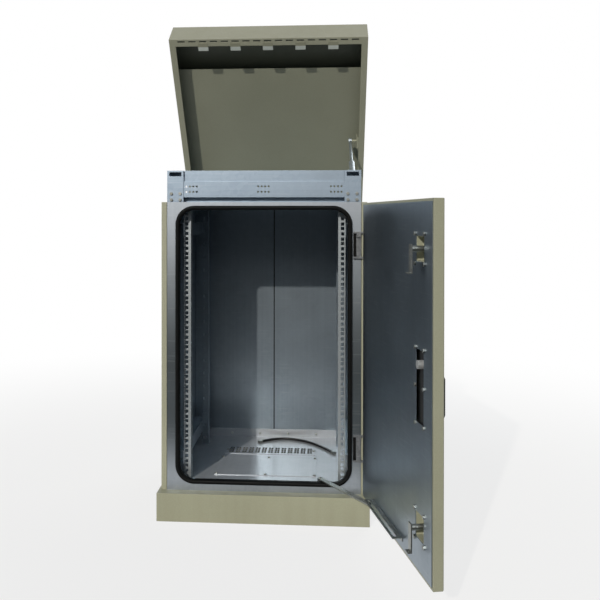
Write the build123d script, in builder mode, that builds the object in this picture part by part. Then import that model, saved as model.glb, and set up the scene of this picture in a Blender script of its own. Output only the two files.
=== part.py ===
from build123d import *
from math import atan2, cos, hypot, radians, sin, sqrt, tan
import os

os.makedirs("parts", exist_ok=True)

# The 19-inch rack standard, in millimetres, which sets the width and height of the body
UNITS = 18
UNIT = 44.45
HOLE_SPAN = 465.1
HOLE_STEP = 15.875
HOLE_SQUARE = 9.5
HOLE_EDGE = 8.45
RACK_LIFT = 2.3
RACK_HEAD = 26.6
RACK_SIDE = 52.95
RAIL_FACE = 21.3
RAIL_LEG = 30
RAIL_BACK = 32
REAR_RAIL_IN = 113

# Driving dimensions of the cabinet, and how far each piece stands out from the body or in from it
BODY_D = 550
SKIN_OUT = 17.5
PLINTH_OUT = 24.5
PLINTH_H = 82
PLINTH_AHEAD = 34
HEADER_H = 93
REAR_GAP = 45
FLOOR_RISE = 23
OPENING_SIDE = 35
OPENING_BOTTOM = 30
OPENING_TOP = 20
OPENING_R = 46

# Sheet thicknesses and the outer radius of a bend in painted sheet
SHEET = 1.5
FRAME_T = 2
SKIN = 2
PLINTH_T = 3
BEND = 4

# Door
DOOR_OUTSIDE = 5.5
DOOR_LOW = 13
DOOR_HIGH = 4
DOOR_T = 26
DOOR_STAND = 12
DOOR_OPEN = 102
AXIS_OUT = 14
AXIS_IN = 5
LINER_IN = 6
LATCH_IN = 84
TOP_LATCH_UP = 724
LOCK_UP = 467
BOTTOM_LATCH_UP = 106

# Hood
HOOD_OUTSIDE = 28.5
HOOD_AHEAD = 91.5
HOOD_H = 98
HOOD_OPEN = 52.5
HOOD_LIFT = 2.5
HOOD_SIDE_LIP = 20
HOOD_FRONT_LIP = 24
HOOD_LINER_UP = 48
SLOTS = 17
SLOT_STEP = 34.3
SLOT_L = 23
SLOT_W = 5
SLOT_IN = 8

# Clearances: pieces side by side, running fits, and the two open linkage pivots
GAP = 0.3
RUN = 0.05
OPEN_GAP = 0.4

# Levels and planes that follow from the driving dimensions
BODY_W = HOLE_SPAN + 2 * RACK_SIDE
BODY_TOP = PLINTH_H + FLOOR_RISE + RACK_LIFT + UNITS * UNIT + RACK_HEAD
HALF = BODY_W / 2
PLINTH_W = BODY_W + 2 * PLINTH_OUT
OPENING_W = BODY_W - 2 * OPENING_SIDE
DOOR_W = BODY_W + 2 * DOOR_OUTSIDE
HOOD_W = BODY_W + 2 * HOOD_OUTSIDE
INNER_DEPTH = BODY_D - REAR_GAP
REAR_RAIL_BACK = INNER_DEPTH - REAR_RAIL_IN
FLOOR_Z = PLINTH_H + FLOOR_RISE
CEIL_Z = BODY_TOP - SHEET
HEADER_TOP = BODY_TOP + HEADER_H
FRAME_Y = PLINTH_AHEAD - (BODY_D + PLINTH_AHEAD) / 2
CABINET = Plane(origin=(0, FRAME_Y, 0))

OPEN_LOW = PLINTH_H + OPENING_BOTTOM
OPEN_H = BODY_TOP - OPENING_TOP - OPEN_LOW
OPEN_MID = OPEN_LOW + OPEN_H / 2

AXIS_X = DOOR_W / 2 + AXIS_OUT
AXIS_Y = -(DOOR_STAND + DOOR_T - AXIS_IN)
TURN = radians(DOOR_OPEN)
DOOR = Plane(origin=(AXIS_X, FRAME_Y + AXIS_Y, 0), x_dir=(cos(TURN), sin(TURN), 0), z_dir=(0, 0, 1))
DOOR_BOTTOM = PLINTH_H + DOOR_LOW
DOOR_TOP = BODY_TOP - DOOR_HIGH
DOOR_MID = (DOOR_BOTTOM + DOOR_TOP) / 2
DOOR_H = DOOR_TOP - DOOR_BOTTOM
DOOR_FREE = -AXIS_OUT - DOOR_W
DOOR_CENTRE = -AXIS_OUT - DOOR_W / 2
DOOR_OUT = -AXIS_IN
LINER_Y = DOOR_T - AXIS_IN
PAN_Y = LINER_Y - SHEET
LATCH_X = DOOR_FREE + LATCH_IN
TOP_LATCH_Z = DOOR_BOTTOM + TOP_LATCH_UP
LOCK_Z = DOOR_BOTTOM + LOCK_UP
BOTTOM_LATCH_Z = DOOR_BOTTOM + BOTTOM_LATCH_UP
LATCH_SPOTS = [(LATCH_X, TOP_LATCH_Z), (LATCH_X, BOTTOM_LATCH_Z)]

LEAF = 2
KNUCKLE_R = 5
PIN_R = 3
HOOD_Y = BODY_D + LEAF + KNUCKLE_R - 0.5
HOOD_Z = BODY_TOP + HOOD_LIFT
HOOD_L = HOOD_Y + HOOD_AHEAD
TILT = radians(HOOD_OPEN)
HOOD = Plane(origin=(0, FRAME_Y + HOOD_Y, HOOD_Z), x_dir=(1, 0, 0), z_dir=(0, sin(TILT), cos(TILT)))
HOOD_BACK = BODY_D - HOOD_Y
HOOD_D = HOOD_L + HOOD_BACK
HOOD_MID = (HOOD_BACK - HOOD_L) / 2


def plan(frame, z):
    """A frame's plane seen from above: width to the right, depth up the page."""
    return frame.offset(z)


def side_on(frame, x):
    """A plane across a frame's width: depth to the right, height up the page."""
    return Plane(origin=frame.from_local_coords(Vector(x, 0, 0)), x_dir=frame.y_dir, z_dir=frame.x_dir)


def front_on(frame, y):
    """A plane across a frame's depth, facing the front: width to the right, height up the page."""
    return Plane(origin=frame.from_local_coords(Vector(0, y, 0)), x_dir=frame.x_dir, z_dir=-frame.y_dir)


def folded(plane, points, thickness, length, bend=0):
    """A sheet folded along points on one face, its thickness to their left, drawn out from the plane."""
    with BuildSketch(plane) as profile:
        with BuildLine():
            if bend:
                FilletPolyline(*points, radius=bend)
            else:
                Polyline(*points)
            offset(amount=thickness, side=Side.LEFT)
        make_face()
    extrude(profile.sketch, amount=length)


def turned(frame, start, way, steps):
    """A turned bar: one radius and length after another, from a start point along a way."""
    here = frame.from_local_coords(Vector(*start))
    along = (frame.from_local_coords(Vector(*start) + Vector(*way)) - here).normalized()
    across = Plane(origin=here, z_dir=along).x_dir
    outline = [(0, 0)]
    reach = 0
    for radius, length in steps:
        outline.append((radius, reach))
        reach += length
        outline.append((radius, reach))
    outline.append((0, reach))
    with BuildSketch(Plane(origin=here, x_dir=across, z_dir=across.cross(along))) as section:
        with BuildLine():
            Polyline(*outline, close=True)
        make_face()
    revolve(section.sketch, axis=Axis(here, along))


def plate(plane, x0, x1, y0, y1, thickness, mode=Mode.ADD):
    """A rectangle between two limits each way, drawn out from the plane."""
    with BuildSketch(plane) as outline:
        with Locations(((x0 + x1) / 2, (y0 + y1) / 2)):
            Rectangle(x1 - x0, y1 - y0)
    extrude(outline.sketch, amount=thickness, mode=mode)


def hexes(plane, points, radius, height):
    """Hexagon heads standing on a plane."""
    with BuildSketch(plane) as heads:
        with Locations(*points):
            RegularPolygon(radius, 6)
    extrude(heads.sketch, amount=height)


def save(part, node, label):
    part.label = label
    export_step(part, "parts/" + node + ".step")


def save_pair(piece, node, label):
    """A right-hand piece and its mirror image on the left."""
    save(piece.part, node.format("right"), label.format("right"))
    save(mirror(piece.part, about=Plane.YZ), node.format("left"), label.format("left"))


# Plinth: welded sheet frame, open below, with a flange for the body at the top and one at the ground
TOP_FLANGE = 45
FOOT_FLANGE = 50
ANCHOR_IN = 25
ANCHOR_R = 7
PLINTH_D = BODY_D + PLINTH_AHEAD
with BuildPart() as plinth:
    with BuildSketch() as walls:
        Rectangle(PLINTH_W, PLINTH_D)
        Rectangle(PLINTH_W - 2 * PLINTH_T, PLINTH_D - 2 * PLINTH_T, mode=Mode.SUBTRACT)
    extrude(walls.sketch, amount=PLINTH_H)
    with BuildSketch() as foot:
        Rectangle(PLINTH_W, PLINTH_D)
        Rectangle(PLINTH_W - 2 * FOOT_FLANGE, PLINTH_D - 2 * FOOT_FLANGE, mode=Mode.SUBTRACT)
        with GridLocations(PLINTH_W - 2 * ANCHOR_IN, PLINTH_D - 2 * ANCHOR_IN, 2, 2):
            Circle(ANCHOR_R, mode=Mode.SUBTRACT)
    extrude(foot.sketch, amount=PLINTH_T)
    with BuildSketch(Plane.XY.offset(PLINTH_H)) as rim:
        Rectangle(PLINTH_W, PLINTH_D)
        Rectangle(PLINTH_W - 2 * TOP_FLANGE, PLINTH_D - 2 * TOP_FLANGE, mode=Mode.SUBTRACT)
    extrude(rim.sketch, amount=-PLINTH_T)
save(plinth.part, "plinth", "welded plinth")

# Floor: an upside-down pan on the plinth, with a gland plate and an air grille screwed over its cut-outs
FLOOR_FRONT = 10
FLOOR_FOOT = 22
REAR_FLANGE = 28
GLAND_W = 310
GLAND_Y0 = 75
GLAND_D = 182
GLAND_T = 2
GRILLE_W = 300
GRILLE_Y0 = 292
GRILLE_D = 87
COVER_LAP = 11
SCREW_IN = 6
FLOOR_X = HALF - SHEET - GAP
FLOOR_UNDER = FLOOR_Z - SHEET
FLOOR_D = INNER_DEPTH - FLOOR_FRONT
FLOOR_MID = FLOOR_FRONT + FLOOR_D / 2
GLAND_MID = GLAND_Y0 + GLAND_D / 2
GRILLE_MID = GRILLE_Y0 + GRILLE_D / 2
with BuildPart() as floor_tray:
    plate(plan(CABINET, PLINTH_H), -FLOOR_X, FLOOR_X, FLOOR_FRONT, INNER_DEPTH, FLOOR_RISE)
    offset(amount=-SHEET, openings=floor_tray.faces().sort_by(Axis.Z)[0])
    with BuildSketch(plan(CABINET, PLINTH_H)) as feet:
        with Locations((0, FLOOR_MID)):
            with GridLocations(2 * FLOOR_X - FLOOR_FOOT, 1, 2, 1):
                Rectangle(FLOOR_FOOT, FLOOR_D)
    extrude(feet.sketch, amount=SHEET)
    plate(front_on(CABINET, INNER_DEPTH), -FLOOR_X, FLOOR_X, FLOOR_UNDER, FLOOR_Z + REAR_FLANGE, SHEET)
    with BuildSketch(plan(CABINET, FLOOR_Z)) as cutouts:
        with Locations((0, GLAND_MID)):
            Rectangle(GLAND_W - 2 * COVER_LAP, GLAND_D - 2 * COVER_LAP)
        with Locations((0, GRILLE_MID)):
            Rectangle(GRILLE_W - 2 * COVER_LAP, GRILLE_D - 2 * COVER_LAP)
    extrude(cutouts.sketch, amount=-SHEET, mode=Mode.SUBTRACT)
save(floor_tray.part, "floor_tray", "galvanised floor tray")

with BuildPart() as gland_plate:
    with BuildSketch(plan(CABINET, FLOOR_Z)) as cover:
        with Locations((0, GLAND_MID)):
            Rectangle(GLAND_W, GLAND_D)
    extrude(cover.sketch, amount=GLAND_T)
save(gland_plate.part, "gland_plate", "blank gland plate")

GROUPS = 13
GROUP_STEP = 21.8
MESH_W = 13.2
MESH_H = 5
MESH_STEP = 7.6
with BuildPart() as floor_grille:
    with BuildSketch(plan(CABINET, FLOOR_Z)) as mesh:
        with Locations((0, GRILLE_MID)):
            Rectangle(GRILLE_W, GRILLE_D)
            with GridLocations(GROUP_STEP, 1, GROUPS, 1):
                with GridLocations(1, MESH_STEP, 1, 3):
                    Rectangle(MESH_W, MESH_H, mode=Mode.SUBTRACT)
    extrude(mesh.sketch, amount=SHEET)
save(floor_grille.part, "floor_grille", "air grille in the floor")

SCREW_R = 4.5
SCREW_H = 3
with BuildPart() as floor_screws:
    with BuildSketch(plan(CABINET, FLOOR_Z + GLAND_T)) as gland_heads:
        with Locations((0, GLAND_MID)):
            with GridLocations(GLAND_W / 2 - SCREW_IN, GLAND_D - 2 * SCREW_IN, 3, 2):
                RegularPolygon(SCREW_R, 6)
    extrude(gland_heads.sketch, amount=SCREW_H)
    with BuildSketch(plan(CABINET, FLOOR_Z + SHEET)) as grille_heads:
        with Locations((0, GRILLE_MID)):
            with GridLocations(GRILLE_W - 2 * SCREW_IN, 1, 2, 1):
                RegularPolygon(SCREW_R, 6)
    extrude(grille_heads.sketch, amount=SCREW_H)
save(floor_screws.part, "floor_screws", "gland plate and grille screws")

# Inner cabinet: galvanised walls, a rear wall of two sheets, and the ceiling
WALL_LIP = 15
WALL_END = INNER_DEPTH + 2 * SHEET
SEAM = 0.25
REAR_WALL_TOP = CEIL_Z - SHEET - GAP
with BuildPart() as inner_wall:
    lip = HALF - WALL_LIP
    run = [(lip, FRAME_T), (HALF, FRAME_T), (HALF, WALL_END), (lip, WALL_END)]
    folded(plan(CABINET, PLINTH_H), run, SHEET, CEIL_Z - PLINTH_H)
    plate(plan(CABINET, CEIL_Z), lip, HALF, FRAME_T, WALL_END, -SHEET)
save_pair(inner_wall, "{}_inner_wall", "{} inner wall")

with BuildPart() as rear_wall:
    run = [(SEAM, INNER_DEPTH + WALL_LIP), (SEAM, INNER_DEPTH), (FLOOR_X, INNER_DEPTH)]
    folded(plan(CABINET, PLINTH_H), run, SHEET, REAR_WALL_TOP - PLINTH_H)
save_pair(rear_wall, "rear_wall_{}", "{} rear wall sheet")

CEIL_END = BODY_D - SKIN - 2
with BuildPart() as ceiling_plate:
    plate(plan(CABINET, CEIL_Z), -HALF, HALF, FRAME_T, CEIL_END, SHEET)
save(ceiling_plate.part, "ceiling_plate", "ceiling plate")

with BuildPart() as front_frame:
    with BuildSketch(front_on(CABINET, 0)) as frame_face:
        with Locations((0, (PLINTH_H + BODY_TOP) / 2)):
            Rectangle(BODY_W, BODY_TOP - PLINTH_H)
        with Locations((0, OPEN_MID)):
            RectangleRounded(OPENING_W, OPEN_H, OPENING_R, mode=Mode.SUBTRACT)
    extrude(frame_face.sketch, amount=-FRAME_T)
save(front_frame.part, "front_frame", "galvanised front frame")

# Door seal: a rubber section gripping the edge of the opening, swept once round it
SEAL_OUT = 10
SEAL_IN = 4
SEAL_CUT = 4
SEAL_GRIP = 5
SEAL_HIGH = DOOR_STAND - 0.5
SEAL_BACK = FRAME_T + 3
with BuildPart() as door_seal:
    with BuildSketch(front_on(CABINET, 0)) as edge:
        with Locations((0, OPEN_MID)):
            RectangleRounded(OPENING_W, OPEN_H, OPENING_R)
    path = edge.sketch.face().outer_wire()
    ahead = Vector(0, -1, 0)
    outward = (path % 0).cross(ahead)
    with BuildSketch(Plane(origin=path @ 0, x_dir=outward, z_dir=outward.cross(ahead))) as section:
        with BuildLine():
            Polyline(
                (-SEAL_IN, -SEAL_BACK), (SEAL_GRIP, -SEAL_BACK), (SEAL_GRIP, -FRAME_T), (0, -FRAME_T), (0, 0),
                (SEAL_OUT, 0), (SEAL_OUT - SEAL_CUT, SEAL_HIGH), (SEAL_CUT - SEAL_IN, SEAL_HIGH), close=True)
        make_face()
    sweep(section.sketch, path=path)
save(door_seal.part, "door_seal", "rubber door seal")

# Header above the front frame: a stepped folded beam between two windowed end posts
POST_W = 48.5
POST_D = 26
BEAM_LOW = 14
BEAM_STEP = 61
BEAM_IN = 22
STEP_BACK = 8
WINDOW_W = 36
WINDOW_H = 12
WINDOW_IN = 5
HEADER_SCREW_XS = (12.5, 38.5)
HEADER_SCREW_ZS = (7, 25)
HEADER_SCREW_R = 5
HEADER_SCREW_H = 3.5
HEADER_HOLE = 5
HEADER_HOLE_STEP = 10.3
HEADER_HOLE_ROW = 16
HEADER_HOLE_DOWN = 23
GROUP_IN = 24
POST_IN = HALF - POST_W
RAIL_END_X = HALF - FRAME_T - GAP
with BuildPart() as header_bracket:
    run = [(POST_IN, 0), (HALF, 0), (HALF, POST_D), (POST_IN, POST_D)]
    folded(plan(CABINET, BODY_TOP), run, FRAME_T, HEADER_H)
    plate(plan(CABINET, HEADER_TOP), POST_IN, HALF, 0, POST_D, -FRAME_T)
    with BuildSketch(front_on(CABINET, 0)) as window:
        with Locations((HALF - POST_W / 2, HEADER_TOP - WINDOW_IN - WINDOW_H / 2)):
            Rectangle(WINDOW_W, WINDOW_H)
    extrude(window.sketch, amount=-FRAME_T, mode=Mode.SUBTRACT)
save_pair(header_bracket, "{}_header_bracket", "{} header bracket")

BEAM_UNDER = BODY_TOP + BEAM_LOW
BEAM_TOP = BODY_TOP + BEAM_STEP
with BuildPart() as header_beam:
    run = [
        (BEAM_IN, HEADER_TOP), (STEP_BACK, HEADER_TOP), (STEP_BACK, BEAM_TOP), (FRAME_T, BEAM_TOP),
        (FRAME_T, BEAM_UNDER), (BEAM_IN, BEAM_UNDER), (BEAM_IN, BODY_TOP + GAP)]
    folded(side_on(CABINET, -POST_IN), run, FRAME_T, 2 * POST_IN)
    for end in (-RAIL_END_X, POST_IN):
        stop = end + RAIL_END_X - POST_IN
        plate(front_on(CABINET, 2 * FRAME_T), end, stop, BODY_TOP + GAP, BEAM_TOP, FRAME_T)
    with BuildSketch(front_on(CABINET, FRAME_T)) as holes:
        with Locations((0, BEAM_TOP - HEADER_HOLE_DOWN)):
            with GridLocations(POST_IN - GROUP_IN, 1, 3, 1):
                with GridLocations(HEADER_HOLE_STEP, HEADER_HOLE_ROW, 4, 2):
                    Rectangle(HEADER_HOLE, HEADER_HOLE)
    extrude(holes.sketch, amount=-FRAME_T, mode=Mode.SUBTRACT)
save(header_beam.part, "header_beam", "header beam")

with BuildPart() as header_screws:
    right = [(HALF - x, BODY_TOP + z) for x in HEADER_SCREW_XS for z in HEADER_SCREW_ZS]
    spots = right + [(-x, z) for x, z in right]
    hexes(front_on(CABINET, 0), spots, HEADER_SCREW_R, HEADER_SCREW_H)
save(header_screws.part, "header_screws", "header screws")

# Top rails and rear beam on the ceiling, under the hood, with the lower stud of the gas strut
RAIL_T = 2
RAIL_BASE = 38
RAIL_UP = 10
EAR_UP = 42
EAR_L = 32
REAR_UP = 40
REAR_BASE = 28
STUD_Y = 40
STUD_Z = BODY_TOP + 18
STUD_R = 4
STUD_END = 2
EYE_R = 9
EYE_T = 10
STRUT_IN = 19.5
STRUT_X = HALF - STRUT_IN
RAIL_BASE_IN = RAIL_END_X - RAIL_BASE
RAIL_START = POST_D + GAP
BEAM_BACK = BODY_D - HOOD_SIDE_LIP - 4
RAIL_STOP = BEAM_BACK - REAR_BASE
with BuildPart() as top_rail:
    run = [(RAIL_BASE_IN, BODY_TOP), (RAIL_END_X, BODY_TOP), (RAIL_END_X, BODY_TOP + RAIL_UP)]
    folded(front_on(CABINET, RAIL_START), run, RAIL_T, RAIL_START - RAIL_STOP)
    with BuildSketch(side_on(CABINET, RAIL_END_X)) as ear:
        with BuildLine():
            Polyline(
                (RAIL_START, BODY_TOP), (RAIL_START + EAR_L + EAR_UP / 2, BODY_TOP),
                (RAIL_START + EAR_L, BODY_TOP + EAR_UP), (RAIL_START, BODY_TOP + EAR_UP), close=True)
        make_face()
    extrude(ear.sketch, amount=-RAIL_T)
save_pair(top_rail, "{}_top_rail", "{} top rail")

with BuildPart() as rear_beam:
    run = [(RAIL_STOP + GAP, BODY_TOP), (BEAM_BACK, BODY_TOP), (BEAM_BACK, BODY_TOP + REAR_UP)]
    folded(side_on(CABINET, -RAIL_END_X), run, RAIL_T, 2 * RAIL_END_X)
save(rear_beam.part, "rear_beam", "rear beam")

with BuildPart() as strut_stud:
    reach = RAIL_END_X - RAIL_T - (STRUT_X - EYE_T / 2 - STUD_END)
    turned(CABINET, (RAIL_END_X - RAIL_T, STUD_Y, STUD_Z), (-1, 0, 0), [(STUD_R, reach)])
save(strut_stud.part, "strut_stud", "strut stud")

# Painted outer skins standing on the plinth
SKIN_X = HALF + SKIN_OUT
SKIN_IN = HALF + 1
SKIN_END = BODY_D - SKIN
with BuildPart() as side_panel:
    run = [(SKIN_IN, 0), (SKIN_X, 0), (SKIN_X, SKIN_END), (SKIN_IN, SKIN_END)]
    folded(plan(CABINET, PLINTH_H), run, SKIN, BODY_TOP - PLINTH_H, BEND)
    plate(plan(CABINET, BODY_TOP), SKIN_IN, SKIN_X, BEND, SKIN_END - BEND, -SKIN)
save_pair(side_panel, "{}_side_panel", "{} side panel")

with BuildPart() as rear_panel:
    plate(front_on(CABINET, BODY_D), -SKIN_X, SKIN_X, PLINTH_H, BODY_TOP, SKIN)
save(rear_panel.part, "rear_panel", "rear panel")

# Rack rails of channel section with the standard square holes, and the bars that carry them on the walls
BAR_T = 2
BAR_H = 40
BAR_UP = 20
BAR_LOW = 45
BAR_HIGH = 85
BAR_FRONT = 4
BAR_BACK = 12
RAIL_OUT = HOLE_SPAN / 2 + HOLE_EDGE
RAIL_IN = RAIL_OUT - RAIL_FACE
RACK_MID = FLOOR_Z + RACK_LIFT + UNITS * UNIT / 2
RAIL_TOP = FLOOR_Z + RACK_LIFT + UNITS * UNIT + 10
FRONT_HOLES = (-HOLE_STEP, 0, HOLE_STEP)
REAR_HOLES = (0,)
for depth, place, shifts in ((RAIL_BACK, "front", FRONT_HOLES), (REAR_RAIL_BACK, "rear", REAR_HOLES)):
    with BuildPart() as rack_rail:
        end = depth + RAIL_LEG
        run = [(RAIL_IN, end), (RAIL_IN, depth), (RAIL_OUT, depth), (RAIL_OUT, end)]
        folded(plan(CABINET, FLOOR_Z), run, RAIL_T, RAIL_TOP - FLOOR_Z)
        with BuildSketch(front_on(CABINET, depth)) as holes:
            for shift in shifts:
                with Locations((HOLE_SPAN / 2, RACK_MID + shift)):
                    with GridLocations(1, UNIT, 1, UNITS):
                        Rectangle(HOLE_SQUARE, HOLE_SQUARE)
        extrude(holes.sketch, amount=-RAIL_T, mode=Mode.SUBTRACT)
    save_pair(rack_rail, place + "_{}_rail", place + " {} rack rail")

with BuildPart() as rail_brackets:
    wall = HALF - SHEET - BAR_T
    front = RAIL_BACK - BAR_FRONT
    back = REAR_RAIL_BACK + RAIL_LEG + BAR_BACK
    for low in (FLOOR_Z + BAR_LOW, RAIL_TOP - BAR_HIGH):
        high = low + BAR_H
        run = [(wall, high + BAR_UP), (wall, high), (RAIL_OUT, high), (RAIL_OUT, low)]
        folded(front_on(CABINET, front), run, BAR_T, front - back)
save_pair(rail_brackets, "{}_rail_brackets", "{} rail brackets")

# Door hinges: cranked brackets on the frame with their pins, and leaves on the edge of the door
HINGE_LOW = 122
HINGE_HIGH = 121
HINGE_ZS = (DOOR_BOTTOM + HINGE_LOW, DOOR_TOP - HINGE_HIGH)
HINGE_H = 78
HINGE_T = 2.5
HINGE_IN = 23
EAR_T = 5
EAR_R = 6
EAR_LOW = DOOR_STAND - 3
PIN_OUT = 4
LEAF_H = HINGE_H / 2 - EAR_T - 0.5
with BuildPart() as hinge_brackets:
    for mid in HINGE_ZS:
        plate(front_on(CABINET, 0), HALF - HINGE_IN, HALF - 1, mid - HINGE_H / 2, mid + HINGE_H / 2, HINGE_T)
        for bottom in (mid - HINGE_H / 2, mid + HINGE_H / 2 - EAR_T):
            with BuildSketch(plan(CABINET, bottom)) as crank:
                with BuildLine():
                    Polyline(
                        (HALF - HINGE_IN, 0), (HALF - HINGE_IN, -EAR_LOW), (AXIS_X - EAR_R, -EAR_LOW),
                        (AXIS_X - EAR_R, AXIS_Y), (AXIS_X - EAR_R / 2, AXIS_Y - EAR_R),
                        (AXIS_X + EAR_R / 2, AXIS_Y - EAR_R), (AXIS_X + EAR_R, AXIS_Y), (AXIS_X + EAR_R, 0),
                        close=True)
                make_face()
            extrude(crank.sketch, amount=EAR_T)
        turned(CABINET, (AXIS_X, AXIS_Y, mid - HINGE_H / 2), (0, 0, 1), [(PIN_R, HINGE_H + PIN_OUT)])
save(hinge_brackets.part, "hinge_brackets", "door hinge brackets with their pins")

LEAF_T = 2.5
LEAF_IN = 5
ARM_T = 3
with BuildPart() as hinge_leaves:
    for mid in HINGE_ZS:
        with BuildSketch(plan(DOOR, mid - LEAF_H)) as leaf:
            with BuildLine():
                Polyline(
                    (-AXIS_OUT, LINER_Y - LEAF_IN), (-AXIS_OUT, -ARM_T), (0, -ARM_T), (0, ARM_T),
                    (LEAF_T - AXIS_OUT, ARM_T), (LEAF_T - AXIS_OUT, LINER_Y - LEAF_IN), close=True)
            make_face()
            Circle(EAR_R)
            Circle(PIN_R + RUN, mode=Mode.SUBTRACT)
        extrude(leaf.sketch, amount=2 * LEAF_H)
save(hinge_leaves.part, "hinge_leaves", "door hinge leaves")

# Door: a painted pan, bent on four sides and lipped inwards, with a galvanised liner on the lip
LIP = 14
LATCH_WIN_W = 55
LATCH_WIN_H = 58
LOCK_WIN_W = 50
LOCK_WIN_UP = 32
LOCK_WIN_DOWN = 132
LOCK_WIN_H = LOCK_WIN_UP + LOCK_WIN_DOWN
LOCK_WIN_Z = LOCK_Z + (LOCK_WIN_UP - LOCK_WIN_DOWN) / 2
SPINDLE_R = 7
with BuildPart() as door_shell:
    through = Axis(DOOR.origin, DOOR.y_dir)
    plate(front_on(DOOR, PAN_Y), DOOR_FREE, -AXIS_OUT, DOOR_BOTTOM, DOOR_TOP, PAN_Y - DOOR_OUT)
    fillet(door_shell.faces().sort_by(through)[0].edges(), BEND)
    offset(amount=-SKIN, openings=door_shell.faces().sort_by(through)[-1])
    with BuildSketch(front_on(DOOR, PAN_Y)) as lips:
        with Locations((DOOR_CENTRE, DOOR_MID)):
            Rectangle(DOOR_W, DOOR_H)
            Rectangle(DOOR_W - 2 * LIP, DOOR_H - 2 * LIP, mode=Mode.SUBTRACT)
    extrude(lips.sketch, amount=SKIN)
    with BuildSketch(front_on(DOOR, DOOR_OUT)) as bore:
        with Locations((LATCH_X, LOCK_Z)):
            Circle(SPINDLE_R + 1)
    extrude(bore.sketch, amount=-SKIN, mode=Mode.SUBTRACT)
save(door_shell.part, "door_shell", "painted door shell")

with BuildPart() as door_liner:
    with BuildSketch(front_on(DOOR, LINER_Y)) as face:
        with Locations((DOOR_CENTRE, DOOR_MID)):
            Rectangle(DOOR_W - 2 * LINER_IN, DOOR_H - 2 * LINER_IN)
        with Locations(*LATCH_SPOTS):
            Rectangle(LATCH_WIN_W, LATCH_WIN_H, mode=Mode.SUBTRACT)
        with Locations((LATCH_X, LOCK_WIN_Z)):
            Rectangle(LOCK_WIN_W, LOCK_WIN_H, mode=Mode.SUBTRACT)
    extrude(face.sketch, amount=SHEET)
save(door_liner.part, "door_liner", "galvanised door liner")

# Latches: pocket cases behind the liner with a turning cam each
CASE_LAP = 9
CASE_DEEP = 18
CASE_T = 2
CAM_OUT = 20
CAM_T = 3
CAM_W = 18
CAM_L = 55
CAM_TOP = 10
CAM_HOOK = 11
CASE_FLOOR = PAN_Y - CASE_DEEP
CAM_Y = LINER_Y + CAM_OUT
with BuildPart() as latch_cases:
    with BuildSketch(front_on(DOOR, PAN_Y)) as flange:
        with Locations(*LATCH_SPOTS):
            Rectangle(LATCH_WIN_W + 2 * CASE_LAP, LATCH_WIN_H + 2 * CASE_LAP)
            Rectangle(LATCH_WIN_W - 2 * CASE_T, LATCH_WIN_H - 2 * CASE_T, mode=Mode.SUBTRACT)
    extrude(flange.sketch, amount=CASE_T)
    with BuildSketch(front_on(DOOR, PAN_Y)) as pocket:
        with Locations(*LATCH_SPOTS):
            Rectangle(LATCH_WIN_W, LATCH_WIN_H)
            Rectangle(LATCH_WIN_W - 2 * CASE_T, LATCH_WIN_H - 2 * CASE_T, mode=Mode.SUBTRACT)
    extrude(pocket.sketch, amount=CASE_DEEP)
    with BuildSketch(front_on(DOOR, CASE_FLOOR)) as bottom:
        with Locations(*LATCH_SPOTS):
            Rectangle(LATCH_WIN_W, LATCH_WIN_H)
            Circle(SPINDLE_R + RUN, mode=Mode.SUBTRACT)
    extrude(bottom.sketch, amount=-CASE_T)
save(latch_cases.part, "latch_cases", "latch cases")

for z, place in ((TOP_LATCH_Z, "top"), (BOTTOM_LATCH_Z, "bottom")):
    with BuildPart() as cam:
        reach = CAM_Y + CAM_T - CASE_FLOOR + GAP
        turned(DOOR, (LATCH_X, CASE_FLOOR - GAP, z), (0, 1, 0), [(SPINDLE_R, reach)])
        run = [(CAM_Y, z + CAM_TOP), (CAM_Y, z - CAM_L), (CAM_Y + CAM_HOOK, z - CAM_L)]
        folded(side_on(DOOR, LATCH_X - CAM_W / 2), run, CAM_T, CAM_W)
    save(cam.part, place + "_cam", place + " latch cam")

# Lock: case behind the liner window, base plate and lifting handle outside, spindle through them all
LOCK_W = 46
LOCK_LAP = 7
PAD_T = 6
PAD_H = 6
BASE_T = 6
BASE_W = 48
BASE_UP = 30
BASE_DOWN = 140
BASE_R = 14
LOCK_H = LOCK_WIN_H - 8
with BuildPart() as lock_case:
    with BuildSketch(front_on(DOOR, PAN_Y)) as pads:
        with Locations((LATCH_X, LOCK_WIN_Z)):
            with GridLocations(1, LOCK_WIN_H + PAD_H, 1, 2):
                Rectangle(LOCK_WIN_W + 2 * LOCK_LAP, PAD_H)
    extrude(pads.sketch, amount=PAD_T)
    with BuildSketch(front_on(DOOR, PAN_Y - PAD_T)) as back_plate:
        with Locations((LATCH_X, LOCK_WIN_Z)):
            Rectangle(LOCK_WIN_W + 2 * LOCK_LAP, LOCK_WIN_H + 2 * PAD_H)
    extrude(back_plate.sketch, amount=CASE_T)
    with BuildSketch(front_on(DOOR, PAN_Y - PAD_T)) as housing:
        with Locations((LATCH_X, LOCK_WIN_Z)):
            Rectangle(LOCK_W, LOCK_H)
    extrude(housing.sketch, amount=PAN_Y - PAD_T - DOOR_OUT - SKIN)
    with BuildSketch(front_on(DOOR, PAN_Y)) as bore:
        with Locations((LATCH_X, LOCK_Z)):
            Circle(SPINDLE_R + RUN)
    extrude(bore.sketch, amount=DOOR_T, mode=Mode.SUBTRACT)
save(lock_case.part, "lock_case", "lock case")

with BuildPart() as lock_base:
    with BuildSketch(front_on(DOOR, DOOR_OUT)) as shield:
        with Locations((LATCH_X, LOCK_Z + (BASE_UP - BASE_DOWN) / 2)):
            RectangleRounded(BASE_W, BASE_UP + BASE_DOWN, BASE_R)
        with Locations((LATCH_X, LOCK_Z)):
            Circle(SPINDLE_R + RUN, mode=Mode.SUBTRACT)
    extrude(shield.sketch, amount=BASE_T)
save(lock_base.part, "lock_base", "lock base plate")

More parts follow.
